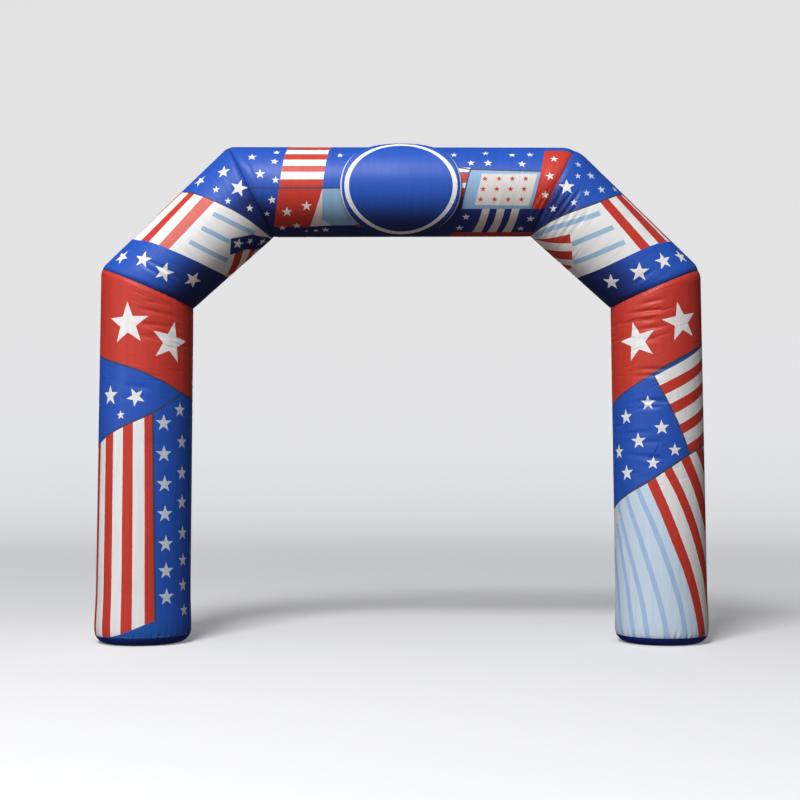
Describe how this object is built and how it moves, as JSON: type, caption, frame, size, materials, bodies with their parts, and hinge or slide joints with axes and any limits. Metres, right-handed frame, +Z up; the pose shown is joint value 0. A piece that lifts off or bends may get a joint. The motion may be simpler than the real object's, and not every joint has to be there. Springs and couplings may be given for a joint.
{
  "type": "inflatable arch",
  "caption": "Blown-up fabric entrance arch with mitred shoulders, a level top and a round padded front panel, in a stars and stripes patchwork print.",
  "frame": {"origin": "on the ground, midway between the legs and midway from front to back", "axes": "+Z up, +X along the width of the arch, the front with the round panel faces -Y"},
  "size_m": [6.1015, 0.9881, 4.9669],
  "materials": {
    "printed_sleeve": "satin coated polyester with a dye-sublimated stars and stripes patchwork",
    "base_panel": "plain navy coated polyester, matt and a little scuffed",
    "badge_panel": "satin coated polyester, plain blue with white rings"
  },
  "bodies": {
    "root": {"leg_left": "printed_sleeve", "leg_right": "printed_sleeve", "shoulder_left": "printed_sleeve", "shoulder_right": "printed_sleeve", "crossbar": "printed_sleeve", "base_left": "base_panel", "base_right": "base_panel", "badge": "badge_panel"}
  },
  "joints": []
}
